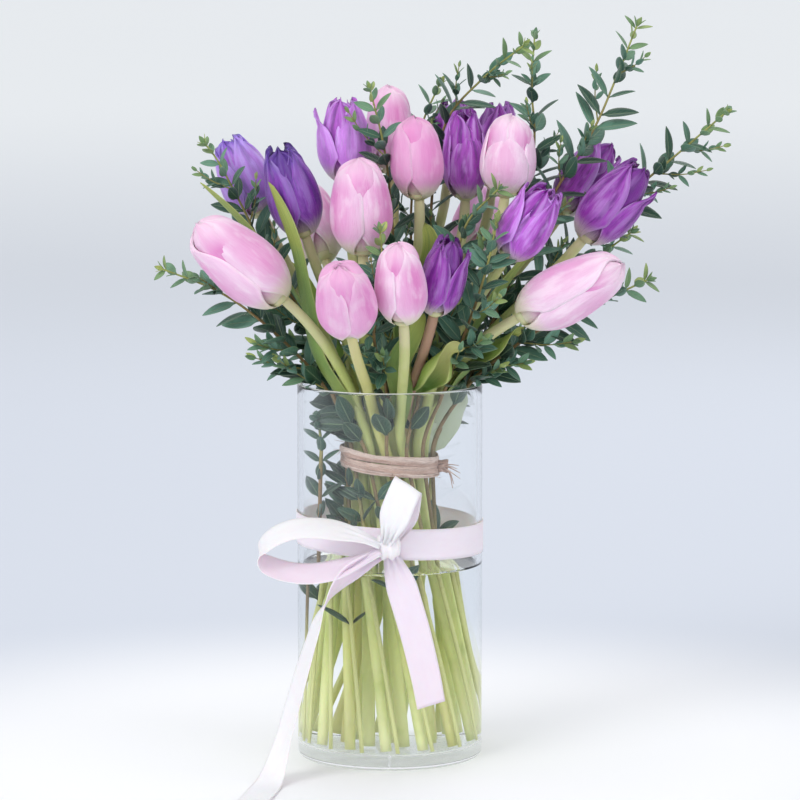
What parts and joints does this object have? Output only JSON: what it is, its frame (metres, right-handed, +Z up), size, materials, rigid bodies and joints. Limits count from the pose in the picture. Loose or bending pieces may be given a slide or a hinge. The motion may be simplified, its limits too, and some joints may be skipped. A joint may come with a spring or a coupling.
{
  "type": "tulips in a vase",
  "caption": "Bouquet of closed tulips and long eucalyptus sprays, tied with raffia, standing in water in a clear cylinder vase with a satin ribbon bow.",
  "frame": {"origin": "middle of the vase's underside, on the surface that it stands on", "axes": "+Z up along the vase's axis; -Y is the bouquet's front, where the bow is; +X is to the right seen from the front"},
  "size_m": [0.3715, 0.2954, 0.4807],
  "materials": {
    "clear_glass": "clear, smooth, thick-based vase glass",
    "water": "clear still water with a faint green tint from the stems",
    "raffia": "dry matt fibre, pinkish tan",
    "satin_ribbon": "pale pink satin with a soft sheen",
    "pink_petal": "pale pink tulip petal with a deeper flame and a cream base, waxy satin",
    "purple_petal": "purple tulip petal with lavender margins and a cream base, waxy satin",
    "tulip_green": "pale yellow-green smooth stem and leaf, soft waxy bloom",
    "eucalyptus_green": "dark blue-green waxy leaf on a thin olive-brown twig"
  },
  "bodies": {
    "root": {"vase": "clear_glass", "water": "water", "raffia_tie": "raffia", "ribbon_band": "satin_ribbon", "ribbon_bow": "satin_ribbon", "tulip_01_bloom": "pink_petal", "tulip_02_bloom": "purple_petal", "tulip_03_bloom": "purple_petal", "tulip_04_bloom": "purple_petal", "tulip_05_bloom": "pink_petal", "tulip_06_bloom": "pink_petal", "tulip_07_bloom": "pink_petal", "tulip_08_bloom": "purple_petal", "tulip_09_bloom": "purple_petal", "tulip_10_bloom": "purple_petal", "tulip_11_bloom": "pink_petal", "tulip_12_bloom": "pink_petal", "tulip_13_bloom": "pink_petal", "tulip_14_bloom": "purple_petal", "tulip_15_bloom": "purple_petal", "tulip_16_bloom": "purple_petal", "tulip_17_bloom": "purple_petal", "tulip_18_bloom": "pink_petal", "tulip_19_bloom": "pink_petal", "tulip_20_bloom": "pink_petal", "tulip_01_stem": "tulip_green", "tulip_02_stem": "tulip_green", "tulip_03_stem": "tulip_green", "tulip_04_stem": "tulip_green", "tulip_05_stem": "tulip_green", "tulip_06_stem": "tulip_green", "tulip_07_stem": "tulip_green", "tulip_08_stem": "tulip_green", "tulip_09_stem": "tulip_green", "tulip_10_stem": "tulip_green", "tulip_11_stem": "tulip_green", "tulip_12_stem": "tulip_green", "tulip_13_stem": "tulip_green", "tulip_14_stem": "tulip_green", "tulip_15_stem": "tulip_green", "tulip_16_stem": "tulip_green", "tulip_17_stem": "tulip_green", "tulip_18_stem": "tulip_green", "tulip_19_stem": "tulip_green", "tulip_20_stem": "tulip_green", "eucalyptus_01": "eucalyptus_green", "eucalyptus_02": "eucalyptus_green", "eucalyptus_03": "eucalyptus_green", "eucalyptus_04": "eucalyptus_green", "eucalyptus_05": "eucalyptus_green", "eucalyptus_06": "eucalyptus_green", "eucalyptus_07": "eucalyptus_green", "eucalyptus_08": "eucalyptus_green", "eucalyptus_09": "eucalyptus_green", "eucalyptus_10": "eucalyptus_green", "eucalyptus_11": "eucalyptus_green", "eucalyptus_12": "eucalyptus_green", "eucalyptus_13": "eucalyptus_green", "eucalyptus_14": "eucalyptus_green", "eucalyptus_15": "eucalyptus_green"}
  },
  "joints": []
}
